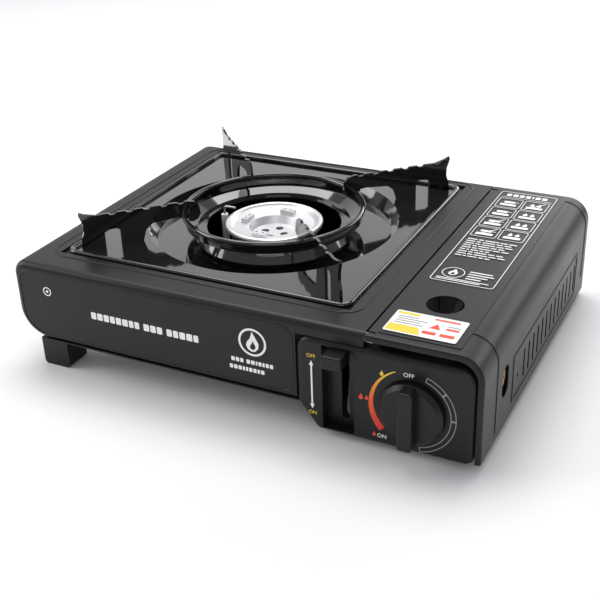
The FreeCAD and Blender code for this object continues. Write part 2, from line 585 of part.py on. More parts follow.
for number, turn in enumerate((45, 135, 225, 315), start=1):
    arm = prism(f"pan_support_{number}", "XZ_Plane", [arm_outline], "-arm_wall/2", "arm_wall")
    place(arm, "tray_x", "tray_y", "0", FreeCAD.Rotation(FreeCAD.Vector(0, 0, 1), turn))
    keep(f"pan_support_{number}", arm)

# burner: cast cup with a tube socket, and a pressed head with four port blocks
cup_outline = [("0", "tube_level - tube_radius - 3"), ("14", "tube_level - tube_radius - 3"),
               ("22", "tube_level - 4"), ("burner_radius - 4", "burner_top - 9"), ("burner_radius - 2", "burner_top - 4.5"),
               ("burner_radius - 4.5", "burner_top - 4.5"), ("burner_radius - 7", "burner_top - 8"),
               ("20", "tube_level"), ("13", "tube_level - tube_radius"), ("0", "tube_level - tube_radius")]
cup_bowl = turned("cup_bowl", cup_outline, "tray_x", "tray_y")
socket = rod("cup_socket", "x", ("tray_x + 19", "tray_y", "tube_level"), "tube_radius + 2.4", "13")
socket_bore = rod("cup_bore", "x", ("tray_x + 5", "tray_y", "tube_level"), "tube_radius", "30")
keep("burner_cup", cut("burner_cup", fuse("cup_casting", [cup_bowl, socket]), [socket_bore]))
head_outline = [("0", "burner_top - 10"), ("16.5", "burner_top - 10"), ("19", "burner_top - 4.4"), ("30", "burner_top - 3.2"),
                ("32", "burner_top - 1.6"), ("33", "burner_top - 0.4"), ("34.5", "burner_top"),
                ("burner_radius - 0.6", "burner_top - 0.5"), ("burner_radius", "burner_top - 1.8"),
                ("burner_radius - 0.8", "burner_top - 4"), ("19", "burner_top - 5.8"), ("17.5", "burner_top - 12"),
                ("0", "burner_top - 12")]
head_plate = turned("head_plate", head_outline, "tray_x", "tray_y")
port_blocks = []
port_holes = []
for i in range(4):
    angle = i * 90
    turn = FreeCAD.Rotation(FreeCAD.Vector(0, 0, 1), angle)
    block = box(f"port_block_{i}", ("0", "5"), ("0", "11"), ("0", "4"))
    start = turn.multVec(FreeCAD.Vector(20, -5.5, 0))
    place(block, f"tray_x + {start.x}", f"tray_y + {start.y}", "burner_top - 4.6", turn)
    port_blocks.append(block)
    for side in (-2.8, 2.8):
        hole_at = turn.multVec(FreeCAD.Vector(22.5, side, 0))
        port_holes.append(rod(f"port_hole_{i}_{side > 0:d}", "z",
                              (f"tray_x + {hole_at.x}", f"tray_y + {hole_at.y}", "burner_top - 2.5"), "0.9", "5"))
well_slots = []
for i in range(4):
    middle = math.radians(i * 90)
    well_slots.append(rod(f"well_slot_{i}", "z", (f"tray_x + {8 * math.cos(middle)}", f"tray_y + {8 * math.sin(middle)}",
                                                  "burner_top - 14"), "3", "8"))
keep("burner_head", cut("burner_head", fuse("head_casting", [head_plate] + port_blocks), port_holes + well_slots))

# mixing tube, air shutter, jet and the bracket under the burner
tube_end = "tray_x + 78"
tube_outer = rod("tube_outer", "x", ("tray_x + 16", "tray_y", "tube_level"), "tube_radius", "58")
flare_outer = cone("flare_outer", "x", ("tray_x + 74", "tray_y", "tube_level"), "tube_radius", "tube_radius + 1.6", "4")
tube_inner = rod("tube_inner", "x", ("tray_x + 15", "tray_y", "tube_level"), "tube_radius - 1", "60")
flare_inner = cone("flare_inner", "x", ("tray_x + 73.9", "tray_y", "tube_level"), "tube_radius - 1", "tube_radius + 0.6", "4.2")
keep("mixing_tube", cut("mixing_tube", fuse("tube_walls", [tube_outer, flare_outer]), [tube_inner, flare_inner]))
shutter_ring = rod("shutter_ring", "x", ("tray_x + 56", "tray_y", "tube_level"), "tube_radius + 1.1", "12")
shutter_bore = rod("shutter_bore", "x", ("tray_x + 55", "tray_y", "tube_level"), "tube_radius + run_gap", "14")
keep("air_shutter", cut("air_shutter", shutter_ring, [shutter_bore]))
jet_x = "tray_x + 80"
jet_block = box("jet_block", (f"{jet_x} + 5", f"{jet_x} + 15"), ("tray_y - 6", "tray_y + 6"), ("tube_level - 6", "tube_level + 6"))
jet_block_bore = rod("jet_block_bore", "x", (f"{jet_x} + 4", "tray_y", "tube_level"), "2.5", "7")
jet_leg = box("jet_leg", (f"{jet_x} + 9", f"{jet_x} + 11"), ("tray_y - 6", "tray_y + 6"), ("casing_bottom", "tube_level - 6"))
jet_foot = box("jet_foot", (f"{jet_x} - 4", f"{jet_x} + 3.5"), ("tray_y - 6", "tray_y + 6"), ("casing_bottom", "casing_bottom + 2"))
jet_step = box("jet_step", (f"{jet_x} + 3", f"{jet_x} + 11"), ("tray_y - 6", "tray_y + 6"), ("casing_bottom + 10", "casing_bottom + 12"))
jet_riser = box("jet_riser", (f"{jet_x} + 3", f"{jet_x} + 5"), ("tray_y - 6", "tray_y + 6"), ("casing_bottom", "casing_bottom + 12"))
jet_leg_cut = box("jet_leg_cut", (f"{jet_x} + 5", f"{jet_x} + 12"), ("tray_y - 7", "tray_y + 7"), ("casing_bottom - 1", "casing_bottom + 10"))
keep("jet_holder", cut("jet_holder", fuse("jet_holder_body", [jet_block, jet_leg, jet_foot, jet_step, jet_riser]),
                       [jet_block_bore, jet_leg_cut]))
jet_body = rod("jet_body", "x", (f"{jet_x} + 1", "tray_y", "tube_level"), "2.5", "8")
jet_hex = rod("jet_hex", "x", (f"{jet_x} + 2", "tray_y", "tube_level"), "4", "3")
jet_bore = rod("jet_bore", "x", (jet_x, "tray_y", "tube_level"), "0.4", "12")
keep("gas_jet", cut("gas_jet", fuse("jet_brass", [jet_body, jet_hex]), [jet_bore]))
bracket_top = box("bracket_top", ("tray_x - 14", "tray_x + 14"), ("tray_y - 20", "tray_y + 20"),
                  ("tube_level - tube_radius - 4.5", "tube_level - tube_radius - 3"))
bracket_legs = []
for side in (-1, 1):
    y = f"tray_y + {side} * 19.25"
    bracket_legs.append(box(f"bracket_leg_{side > 0:d}", ("tray_x - 14", "tray_x + 14"), (f"{y} - 0.75", f"{y} + 0.75"),
                            ("casing_bottom", "tube_level - tube_radius - 3")))
    y = f"tray_y + {side} * 25"
    bracket_legs.append(box(f"bracket_foot_{side > 0:d}", ("tray_x - 14", "tray_x + 14"), (f"{y} - 6.5", f"{y} + 6.5"),
                            ("casing_bottom", "casing_bottom + 1.5")))
keep("burner_bracket", fuse("burner_bracket", [bracket_top] + bracket_legs))

# control bezel: hollow moulding with a lever channel and a knob hole
bezel_outline = [("bezel_left", "casing_bottom"), ("bezel_left", "bezel_top"), ("bezel_right", "bezel_top"),
                 ("bezel_right", "bay_bottom"), ("bezel_left + bezel_cut", "bay_bottom")]
bezel_corners = [(lambda e: along(e, "y") and near(e, x=value("bezel_left"), z=value("bezel_top")), "corner_top"),
                 (lambda e: along(e, "y") and near(e, x=value("bezel_right"), z=value("bezel_top")), "corner_top + 1"),
                 (lambda e: along(e, "y") and near(e, x=value("bezel_right"), z=value("bay_bottom")), "7"),
                 (lambda e: along(e, "y") and near(e, x=value("bezel_left"), z=value("casing_bottom")), "5"),
                 (lambda e: along(e, "y") and near(e, x=value("bezel_left + bezel_cut")), "5"),
                 (lambda e: in_plane(e, "y", value("front")), "4")]
bezel_outer = prism("bezel_outer", "XZ_Plane", [bezel_outline], "front", "bezel_depth", bezel_corners)
hollow_outline = [("bezel_left + plastic_wall", "casing_bottom + 0.8"),
                  ("bezel_left + plastic_wall", "bezel_top - plastic_wall"),
                  ("bezel_right - plastic_wall", "bezel_top - plastic_wall"),
                  ("bezel_right - plastic_wall", "bay_bottom + plastic_wall"),
                  ("bezel_left + bezel_cut + 1", "bay_bottom + plastic_wall")]
hollow_corners = [(lambda e: along(e, "y") and near(e, x=value("bezel_left + plastic_wall"), z=value("bezel_top - plastic_wall")),
                   "corner_top - plastic_wall"),
                  (lambda e: along(e, "y") and near(e, x=value("bezel_right - plastic_wall"), z=value("bezel_top - plastic_wall")),
                   "corner_top - 1"),
                  (lambda e: along(e, "y") and near(e, x=value("bezel_right - plastic_wall"), z=value("bay_bottom + plastic_wall")),
                   "5"),
                  (lambda e: in_plane(e, "y", value("front + plastic_wall")), "2")]
bezel_hollow = prism("bezel_hollow", "XZ_Plane", [hollow_outline], "front + plastic_wall", "bezel_depth", hollow_corners)
channel_x = ("lever_x - 12.5", "lever_x + 9")
channel_z = ("bay_bottom + 3", "tab_level + 5.4")
channel_walls = box("channel_walls", ("lever_x - 14", "lever_x + 10.5"), ("front + 1", "front + 9.5"),
                    ("bay_bottom + 1.5", "tab_level + 6.9"))
channel_room = box("channel_room", channel_x, ("front - 1", "front + 8"), channel_z)
slot_room = box("slot_room", ("lever_left - 1.1", "lever_right + 1.1"), ("front - 1", "front + bezel_depth + 1"),
                ("lever_pivot_level - lever_rise - 11", "tab_level + 3.6"))
dish = rod("knob_dish", "y", ("knob_x", "front - 1", "knob_level"), "knob_radius + 0.8", "2")
knob_hole = rod("knob_hole", "y", ("knob_x", "front - 1", "knob_level"), "spindle_radius + 1.2", "12")
bezel_body = cut("bezel_body", bezel_outer, [bezel_hollow])
keep("control_bezel", cut("control_bezel", fuse("bezel_moulding", [bezel_body, channel_walls]),
                          [channel_room, slot_room, dish, knob_hole]))

# control knob and its spindle with the spiral cam that works the igniter
skirt = rod("knob_skirt", "y", ("knob_x", "front - 3.6", "knob_level"), "knob_radius", "4.2")
skirt_neck = cone("knob_crown", "y", ("knob_x", "front - 6.2", "knob_level"), "knob_radius - 2.4", "knob_radius", "2.6")
grip_half = "grip_width/2"
grip = prism("knob_grip", "XZ_Plane",
             [rectangle((f"knob_x - {grip_half}", f"knob_x + {grip_half}"),
                        ("knob_level - knob_radius + 0.6", "knob_level + knob_radius - 0.6"))],
             "front - knob_proud", "knob_proud - 2",
             [(lambda e: along(e, "y"), "2.2"), (lambda e: in_plane(e, "y", value("front - knob_proud")), "1.4")])
knob_bore = rod("knob_bore", "y", ("knob_x", "front - 9", "knob_level"), "spindle_radius", "12")
keep("control_knob", cut("control_knob", fuse("knob_moulding", [skirt, skirt_neck, grip]), [knob_bore]))
keep("valve_spindle", rod("valve_spindle", "y", ("knob_x", "front - 9", "knob_level"), "spindle_radius", "regulator_front - front + 17"))

cam_turn = math.radians(value("knob_turn"))
cam_points = []
for step in range(15):
    share = step / 14
    radius = value("cam_low") + value("cam_lift") * share
    angle = -cam_turn * share
    cam_points.append(FreeCAD.Vector(radius * math.cos(angle), 0, radius * math.sin(angle)))
cam_curve = Part.BSplineCurve()
cam_curve.interpolate(cam_points)
last_point = cam_points[-1]
back_point = FreeCAD.Vector(-value("cam_low"), 0, 1.5)
lead_in = FreeCAD.Vector(0, 0, value("cam_low"))
cam_wire = Part.Wire([cam_curve.toShape(), Part.LineSegment(last_point, back_point).toShape(),
                      Part.LineSegment(back_point, lead_in).toShape(), Part.LineSegment(lead_in, cam_points[0]).toShape()])
cam_plate = Part.Face(cam_wire).extrude(FreeCAD.Vector(0, 3, 0))
cam_plate = cam_plate.cut(Part.makeCylinder(value("spindle_radius"), 9, FreeCAD.Vector(0, -3, 0), FreeCAD.Vector(0, 1, 0)))
igniter_cam = solid("igniter_cam", cam_plate)
place(igniter_cam, "knob_x", "regulator_front - 6", "knob_level")
keep("igniter_cam", igniter_cam)

# piezo igniter beside the spindle, its plunger pressed by the cam
plunger_y = "regulator_front - 5.2"
plunger_tip = "knob_x + cam_low + 0.15"
plunger_stem = rod("plunger_stem", "x", (f"{plunger_tip} + 1.2", plunger_y, "knob_level"), "1.9", "9")
plunger_nose = cone("plunger_nose", "x", (plunger_tip, plunger_y, "knob_level"), "0.7", "1.9", "1.2")
keep("piezo_plunger", fuse("piezo_plunger", [plunger_nose, plunger_stem]))
piezo_case = rod("piezo_case", "x", (f"{plunger_tip} + 5.5", plunger_y, "knob_level"), "5", "22")
piezo_bore = rod("piezo_bore", "x", (f"{plunger_tip} + 5", plunger_y, "knob_level"), "1.9 + run_gap", "12")
keep("piezo_igniter", cut("piezo_igniter", piezo_case, [piezo_bore]))
clip_strap = box("clip_strap", (f"{plunger_tip} + 12", f"{plunger_tip} + 20"), (f"{plunger_y} - 3", f"{plunger_y} + 5"),
                 ("floor_top", "knob_level - 4.9"))
clip_bite = rod("clip_bite", "x", (f"{plunger_tip} + 11", plunger_y, "knob_level"), "5", "10")
keep("piezo_bracket", cut("piezo_bracket", clip_strap, [clip_bite]))

# regulator: die-cast body with a cartridge socket, diaphragm cover, packing nut and inlet
body_depth = "regulator_back - regulator_front"
casting = prism("regulator_casting", "XZ_Plane",
                [rectangle(("knob_x - 22", "knob_x + 22"), ("floor_top + 13", "pipe_level + 5"))],
                "regulator_front", body_depth, [(lambda e: along(e, "y"), "5")])
socket_boss = rod("socket_boss", "y", ("knob_x", "regulator_back", "cartridge_level"), "16", "3")
socket_room = rod("socket_room", "y", ("knob_x", "regulator_back - 3", "cartridge_level"), "10", "10")
seal_room = rod("seal_room", "y", ("knob_x", "regulator_back - 6", "cartridge_level"), "7.6", "5")
inlet_boss = rod("inlet_boss", "x", ("knob_x + 22", "inlet_y", "cartridge_level"), "5", "8")
inlet_boss_bore = rod("inlet_boss_bore", "x", ("knob_x + 12", "inlet_y", "cartridge_level"), "4", "20")
spindle_bore = rod("spindle_bore", "y", ("knob_x", "regulator_front - 1", "knob_level"), "spindle_radius + run_gap", "14")
outlet_bore = rod("outlet_bore", "x", ("knob_x - 23", "front + 38", "pipe_level"), "pipe_radius", "9")
guide_slot = box("guide_slot", ("knob_x - 3", "knob_x + 3"), ("regulator_back - 4", "regulator_back + 4"),
                 ("cartridge_level + 16", "cartridge_level + 20"))
keep("regulator_body", cut("regulator_body", fuse("regulator_metal", [casting, socket_boss, inlet_boss]),
                           [socket_room, seal_room, inlet_boss_bore, spindle_bore, outlet_bore, guide_slot]))
cover_disc = rod("cover_disc", "z", ("knob_x", "front + 38", "pipe_level + 5"), "11.5", "1.6")
cover_crown = cone("cover_crown", "z", ("knob_x", "front + 38", "pipe_level + 6.6"), "8.5", "7", "2.6")
keep("diaphragm_cover", fuse("diaphragm_cover", [cover_disc, cover_crown]))
nut = doc.addObject("Part::Prism", "nut_blank")
nut.Polygon = 6
nut.Circumradius = 6
bind(nut, "Height", "2.6")
place(nut, "knob_x", "regulator_front - 2.6", "knob_level", AXIS_TURN["y"])
nut_bore = rod("nut_bore", "y", ("knob_x", "regulator_front - 4", "knob_level"), "spindle_radius + run_gap", "6")
keep("packing_nut", cut("packing_nut", nut, [nut_bore]))
seal = doc.addObject("Part::Torus", "cartridge_seal")
seal.Radius1 = 6
seal.Radius2 = 1.5
place(seal, "knob_x", "regulator_back - 4.5", "cartridge_level", AXIS_TURN["y"])
keep("cartridge_seal", seal)
keep("cartridge_guide", box("cartridge_guide", ("knob_x - 3", "knob_x + 3"), ("regulator_back - 4", "regulator_back + 9"),
                            ("cartridge_level + 16.5", "cartridge_level + 19")))
# brass gas inlet, from the regulator's side to just inside the lid's side opening
inlet_end = "right - 2"
inlet_stem = rod("inlet_stem", "x", ("knob_x + 17", "inlet_y", "cartridge_level"), "4", f"{inlet_end} - knob_x - 17")
inlet_collar = rod("inlet_collar", "x", (f"{inlet_end} - 12", "inlet_y", "cartridge_level"), "6", "12")
inlet_bore = rod("inlet_bore", "x", ("knob_x + 16", "inlet_y", "cartridge_level"), "2", "right - knob_x")
keep("gas_inlet", cut("gas_inlet", fuse("inlet_brass", [inlet_stem, inlet_collar]), [inlet_bore]))
stay_post = box("stay_post", ("knob_x - 14", "knob_x + 14"), ("regulator_front + 4", "regulator_front + 6"),
                ("floor_top", "floor_top + 13"))
stay_foot = box("stay_foot", ("knob_x - 14", "knob_x + 14"), ("regulator_front + 4", "regulator_front + 16"),
                ("floor_top", "floor_top + 2"))
keep("regulator_bracket", fuse("regulator_bracket", [stay_post, stay_foot]))

# gas pipe from the regulator to the jet holder
pipe_points = [spot("knob_x - 14", "front + 38", "pipe_level"), spot("pipe_x", "front + 38", "pipe_level"),
               spot("pipe_x", "tray_y - 40", "pipe_level"), spot("pipe_x", "tray_y", "tube_level"),
               spot(f"{jet_x} + 15", "tray_y", "tube_level")]
keep("gas_pipe", bent_rod("gas_pipe", pipe_points, value("pipe_radius"), [8, 30, 8]))

# lock lever, its tab, pivot pin and crank pin, and the carrier that pushes the cartridge home
pivot_z = "lever_pivot_level"
lever_outline = [("tab_y - 1", "tab_level - 3"), ("tab_y - 1", "tab_level + 3"), ("tab_y + 22", "tab_level + 3"),
                 ("lever_pivot_y - 1", f"{pivot_z} + 10"), ("lever_pivot_y + 0.4", f"{pivot_z} + lever_crank + 3.2"),
                 ("lever_pivot_y + 8.8", f"{pivot_z} + lever_crank + 2.6"), ("lever_pivot_y + 7.5", f"{pivot_z} + 6"),
                 ("lever_pivot_y + 5", f"{pivot_z} - 4"), ("lever_pivot_y + 1", f"{pivot_z} - 6"),
                 ("lever_pivot_y - 6", f"{pivot_z} - 5.5"), ("tab_y + 22", "tab_level - 6"), ("tab_y + 12", "tab_level - 3")]
crank_y = value("lever_pivot_y + lever_crank * 0.288")
crank_z = value("lever_pivot_level + lever_crank * 0.958")
lever_plate = prism("lever_plate", "YZ_Plane", [lever_outline], "lever_left", "lever_wall")
lever_bore = rod("lever_bore", "x", ("lever_left - 1", "lever_pivot_y", pivot_z), "pin_radius + run_gap", "lever_wall + 2")
crank_hole = rod("crank_hole", "x", ("lever_left - 1", crank_y, crank_z), "pin_radius", "lever_wall + 2")
keep("lock_lever", cut("lock_lever", lever_plate, [lever_bore, crank_hole]))
keep("crank_pin", rod("crank_pin", "x", ("lever_left", crank_y, crank_z), "pin_radius", "partition_x - lever_left + 5"))
tab_block = prism("tab_block", "XZ_Plane",
                  [rectangle(("lever_x - 8.5", "lever_x + 5.5"), ("tab_level - 4.5", "tab_level + 4.5"))],
                  "front - 11", "13.4",
                  [(lambda e: along(e, "y"), "1.6"), (lambda e: in_plane(e, "y", value("front - 11")), "1.2")])
tab_socket = box("tab_socket", ("lever_left", "lever_right"), ("tab_y - 1", "front + 4"), ("tab_level - 3", "tab_level + 3"))
keep("lever_tab", cut("lever_tab", tab_block, [tab_socket]))
keep("lever_pivot_pin", rod("lever_pivot_pin", "x", ("lever_left - 3", "lever_pivot_y", pivot_z), "pin_radius",
                            "partition_x + sheet_wall - lever_left + 3"))
carrier_level = "floor_top + 2.4"
strip = box("carrier_strip", ("partition_x + 2.2", "knob_x + 12"), ("lever_pivot_y + 14", "back - 22"),
            (carrier_level, f"{carrier_level} + 1.5"))
strip_notch = box("strip_notch", ("partition_x + 6", "knob_x - 12"), ("lever_pivot_y + 30", "back - 40"),
                  (f"{carrier_level} - 1", f"{carrier_level} + 3"))
pusher = box("carrier_pusher", ("knob_x - 12", "knob_x + 12"), ("back - 23.5", "back - 22"), (carrier_level, "cartridge_level + 4"))
ear_plate = box("carrier_ear", ("partition_x + 2.2", "partition_x + 3.7"), ("lever_pivot_y - 4", "lever_pivot_y + 20"),
                (carrier_level, f"{pivot_z} + lever_crank + 6"))
ear_slot = box("carrier_slot", ("partition_x + 1", "partition_x + 5"), (f"{crank_y} - pin_radius - 0.1", f"{crank_y} + pin_radius + 0.1"),
               (f"{crank_z} - 3.2", f"{crank_z} + 3.6"))
keep("cartridge_carrier", cut("cartridge_carrier", fuse("carrier_sheet", [strip, pusher, ear_plate]), [strip_notch, ear_slot]))
keep("carrier_rail", box("carrier_rail", ("knob_x + 7", "knob_x + 11"), ("lever_pivot_y - 2", "back - 45"),
                         ("floor_top", f"{carrier_level} - 0.05")))

# igniter lead, electrode and its ceramic beside the burner
ceramic_x = "tray_x - burner_radius - 6"
ceramic = rod("ceramic_body", "z", (ceramic_x, "tray_y", "tube_level - 14"), "2.6", "32")
ceramic_bore = rod("ceramic_bore", "z", (ceramic_x, "tray_y", "tube_level - 15"), "0.8", "34")
keep("electrode_ceramic", cut("electrode_ceramic", ceramic, [ceramic_bore]))
electrode_points = [spot(ceramic_x, "tray_y", "tube_level - 14"), spot(ceramic_x, "tray_y", "burner_top + 4.5"),
                    spot("tray_x - burner_radius + 3.5", "tray_y", "burner_top + 4.5")]
keep("spark_electrode", bent_rod("spark_electrode", electrode_points, 0.8, [2.5]))
clamp_arm = box("clamp_arm", (f"{ceramic_x} - 5", "tray_x - 14"), ("tray_y - 4", "tray_y + 4"),
                ("tube_level - tube_radius - 4.5", "tube_level - tube_radius - 3"))
clamp_hole = rod("clamp_hole", "z", (ceramic_x, "tray_y", "tube_level - tube_radius - 6"), "2.6", "5")
keep("electrode_clamp", cut("electrode_clamp", clamp_arm, [clamp_hole]))
lead_run = f"{plunger_y} - 5.6"
lead_points = [spot(f"{plunger_tip} + 27.5", plunger_y, "knob_level"), spot("lid_side - 4.8", plunger_y, "knob_level"),
               spot("lid_side - 4.8", plunger_y, "floor_top + 3.5"), spot("lid_side - 12", lead_run, "floor_top + 3.5"),
               spot("partition_x - 12", lead_run, "floor_top + 3.5"),
               spot("partition_x - 24", "tray_y - 88", "casing_bottom + 6"), spot("tray_x + 20", "tray_y - 62", "casing_bottom + 5"),
               spot(ceramic_x, "tray_y - 50", "casing_bottom + 5"), spot(ceramic_x, "tray_y", "casing_bottom + 6"),
               spot(ceramic_x, "tray_y", "tube_level - 14")]
keep("igniter_lead", bent_rod("igniter_lead", lead_points, 1.1, [2.2, 4, 3, 10, 10, 30, 25, 6]))

# heat plate between the burner and the partition's lower half
heat_wall = box("heat_wall", ("partition_x + sheet_wall + 0.4", "partition_x + sheet_wall + 1.2"), ("tray_y + 10", "back - 30"),
                ("floor_top + 18", "deck_under - 14"))
heat_foot = [box(f"heat_spacer_{i}", ("partition_x + sheet_wall", "partition_x + sheet_wall + 0.4"), (y, f"{y} + 6"),
                 ("floor_top + 24", "floor_top + 30")) for i, y in enumerate(("tray_y + 14", "back - 40"))]
keep("heat_plate", fuse("heat_plate", [heat_wall] + heat_foot))


def screw(name, x, y, z, size):
    # head below, shank up through the sheet
    head = cone(f"{name}_head", "z", (x, y, f"{z} - 1.4"), f"{size} * 1.7", f"{size} * 1.9", "1.4")
    shank = rod(f"{name}_shank", "z", (x, y, z), size, "5")
    return fuse(name, [head, shank])


screw_spots = [(x, y) for y in ("front + 6", "back - 6") for x in ("left + 60", "left + 150")]
base_screws = [screw(f"base_screw_{i}", x, y, "casing_bottom - sheet_wall", "1.5")
               for i, (x, y) in enumerate(screw_spots)]
keep("base_screws", doc.addObject("Part::Compound", "base_screws"))
NODES["base_screws"].Links = base_screws
screw_holes = [rod(f"screw_hole_{i}", "z", (x, y, "casing_bottom - 3"), "1.5", "6")
               for i, (x, y) in enumerate(screw_spots)]
for node in ("main_casing", "base_pan"):
    keep(node, cut(node + "_drilled", NODES[node], screw_holes))


doc.recompute()
for feature in doc.Objects:
    if "Invalid" in feature.State or "Error" in feature.State:
        raise RuntimeError(f"{feature.Label} failed: {feature.State}")
for node, piece in NODES.items():
    if piece.Shape.isNull() or not piece.Shape.isValid():
        raise RuntimeError(f"{node} has no valid shape")
os.makedirs("parts", exist_ok=True)
for node, piece in NODES.items():
    piece.Shape.exportStep(f"parts/{node}.step")
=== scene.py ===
# Portable cassette stove: finishes, printed marks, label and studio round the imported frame.
import json
import math
import bpy
from mathutils import Matrix, Vector


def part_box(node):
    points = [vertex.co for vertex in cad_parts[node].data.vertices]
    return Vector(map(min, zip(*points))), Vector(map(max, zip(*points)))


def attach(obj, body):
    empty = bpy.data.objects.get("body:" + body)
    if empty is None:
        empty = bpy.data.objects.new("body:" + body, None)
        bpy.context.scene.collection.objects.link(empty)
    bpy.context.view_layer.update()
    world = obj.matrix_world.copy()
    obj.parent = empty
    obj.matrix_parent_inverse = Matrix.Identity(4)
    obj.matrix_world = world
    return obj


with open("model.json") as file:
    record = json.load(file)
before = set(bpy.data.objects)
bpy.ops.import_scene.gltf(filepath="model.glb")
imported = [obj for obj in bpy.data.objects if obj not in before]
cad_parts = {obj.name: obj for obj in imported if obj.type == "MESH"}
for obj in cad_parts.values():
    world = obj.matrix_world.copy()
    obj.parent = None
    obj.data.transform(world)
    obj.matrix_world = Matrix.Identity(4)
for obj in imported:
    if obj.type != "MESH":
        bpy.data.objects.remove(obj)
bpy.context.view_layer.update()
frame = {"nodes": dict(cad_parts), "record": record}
nodes = frame["nodes"]
mm = 0.001
print("frame loaded:", len(nodes), "nodes")


class Wire:  # a socket that takes part in sums; node() adds any other node
    def __init__(self, tree, socket=None):
        self.tree, self.socket = tree, socket

    def node(self, kind, settings=None, sockets=None, output=0):
        made = self.tree.nodes.new("ShaderNode" + kind)
        for name, setting in (settings or {}).items():
            if name == "stops":
                ramp = made.color_ramp
                for i, (position, colour) in enumerate(setting):
                    stop = ramp.elements[i] if i < 2 else ramp.elements.new(position)
                    stop.position, stop.color = position, (*colour, 1.0)
            else:
                setattr(made, name, setting)
        for name, given in (sockets or {}).items():
            if isinstance(given, Wire):
                self.tree.links.new(given.socket, made.inputs[name])
            else:
                made.inputs[name].default_value = given
        return Wire(self.tree, made.outputs[output] if len(made.outputs) else None)

    def sum(self, operation, first, second):
        return self.node("Math", {"operation": operation}, {0: first, 1: second})

    def __add__(self, other):
        return self.sum("ADD", self, other)

    def __sub__(self, other):
        return self.sum("SUBTRACT", self, other)

    def __rsub__(self, other):
        return self.sum("SUBTRACT", other, self)

    def __mul__(self, other):
        return self.sum("MULTIPLY", self, other)

    __radd__, __rmul__ = __add__, __mul__


def tone(colour, factor=1.0):
    return (*(min(channel * factor, 1.0) for channel in colour), 1.0)


def makeFinish(name, look):
    # grain is the fine surface texture, cloud the slow change in colour and roughness;
    # the mix node's colours are its sockets 6 and 7, and its mixed colour is output 2
    material = bpy.data.materials.new(name)
    material.use_nodes = True
    material.node_tree.nodes.clear()
    wire = Wire(material.node_tree)
    place = wire.node("TexCoord", output="Object")
    stretched = wire.node("Mapping", None, {"Vector": place, "Scale": look.get("stretch", (1, 1, 1))})
    grain = wire.node("TexNoise", None, {"Vector": stretched, "Scale": look["grainScale"], "Detail": 3.0})
    cloud = wire.node("TexNoise", None, {"Vector": place, "Scale": look["cloudScale"], "Detail": 4.0})
    darker, lighter = tone(look["colour"], 1 - look["spread"]), tone(look["colour"], 1 + look["spread"])
    colour = wire.node("Mix", {"data_type": "RGBA"}, {"Factor": cloud, 6: darker, 7: lighter}, 2)
    roughness = (cloud - 0.5) * look["roughSpread"] + (grain - 0.5) * look["roughSpread"] + look["roughness"]
    relief = wire.node("Bump", None, {"Strength": look["relief"], "Distance": look["depth"],
                                      "Height": grain})
    shader = wire.node("BsdfPrincipled", None, {
        "Base Color": colour, "Roughness": roughness, "Normal": relief, "Metallic": look.get("metallic", 0.0),
        "Coat Weight": look.get("coat", 0.0), "Coat Roughness": look.get("coatRoughness", 0.05),
        "Specular IOR Level": look.get("specular", 0.5)})
    wire.node("OutputMaterial", None, {"Surface": shader})
    return material


finishes = {
    "powder_coat": {"colour": (0.011, 0.011, 0.012), "spread": 0.2, "roughness": 0.36, "roughSpread": 0.12,
                    "grainScale": 1400, "cloudScale": 25, "relief": 0.35, "depth": 0.00012, "specular": 0.3},
    "enamel": {"colour": (0.005, 0.005, 0.005), "spread": 0.12, "roughness": 0.1, "roughSpread": 0.05,
               "grainScale": 90, "cloudScale": 18, "relief": 0.12, "depth": 0.0003, "coat": 1.0,
               "coatRoughness": 0.04},
    "black_plastic": {"colour": (0.009, 0.009, 0.01), "spread": 0.18, "roughness": 0.34, "roughSpread": 0.1,
                      "grainScale": 2200, "cloudScale": 30, "relief": 0.25, "depth": 0.00008, "specular": 0.3},
    "cast_aluminium": {"colour": (0.74, 0.73, 0.74), "spread": 0.05, "roughness": 0.46, "roughSpread": 0.14,
                       "grainScale": 900, "cloudScale": 60, "relief": 0.3, "depth": 0.00012, "metallic": 1.0},
    "zinc_steel": {"colour": (0.5, 0.51, 0.52), "spread": 0.12, "roughness": 0.34, "roughSpread": 0.16,
                   "grainScale": 160, "cloudScale": 45, "relief": 0.15, "depth": 0.00008, "metallic": 1.0,
                   "stretch": (1, 14, 1)},
    "zinc_cast": {"colour": (0.42, 0.43, 0.44), "spread": 0.1, "roughness": 0.46, "roughSpread": 0.14,
                  "grainScale": 1100, "cloudScale": 70, "relief": 0.4, "depth": 0.00015, "metallic": 1.0},
    "brass": {"colour": (0.72, 0.48, 0.16), "spread": 0.12, "roughness": 0.28, "roughSpread": 0.12,
              "grainScale": 500, "cloudScale": 90, "relief": 0.2, "depth": 0.00006, "metallic": 1.0,
              "stretch": (12, 1, 1)},
    "seal_rubber": {"colour": (0.02, 0.02, 0.02), "spread": 0.2, "roughness": 0.72, "roughSpread": 0.12,
                    "grainScale": 1600, "cloudScale": 60, "relief": 0.4, "depth": 0.0001},
    "ceramic": {"colour": (0.86, 0.84, 0.79), "spread": 0.05, "roughness": 0.22, "roughSpread": 0.08,
                "grainScale": 700, "cloudScale": 80, "relief": 0.15, "depth": 0.00006, "coat": 0.3},
    "lead_sleeve": {"colour": (0.7, 0.69, 0.64), "spread": 0.08, "roughness": 0.45, "roughSpread": 0.1,
                    "grainScale": 1200, "cloudScale": 60, "relief": 0.2, "depth": 0.00006},
}
materials = {name: makeFinish("finish_" + name, look) for name, look in finishes.items()}
inks = {"white": (0.85, 0.85, 0.84), "yellow": (0.85, 0.6, 0.03), "red": (0.75, 0.06, 0.03),
        "grey": (0.3, 0.3, 0.3)}
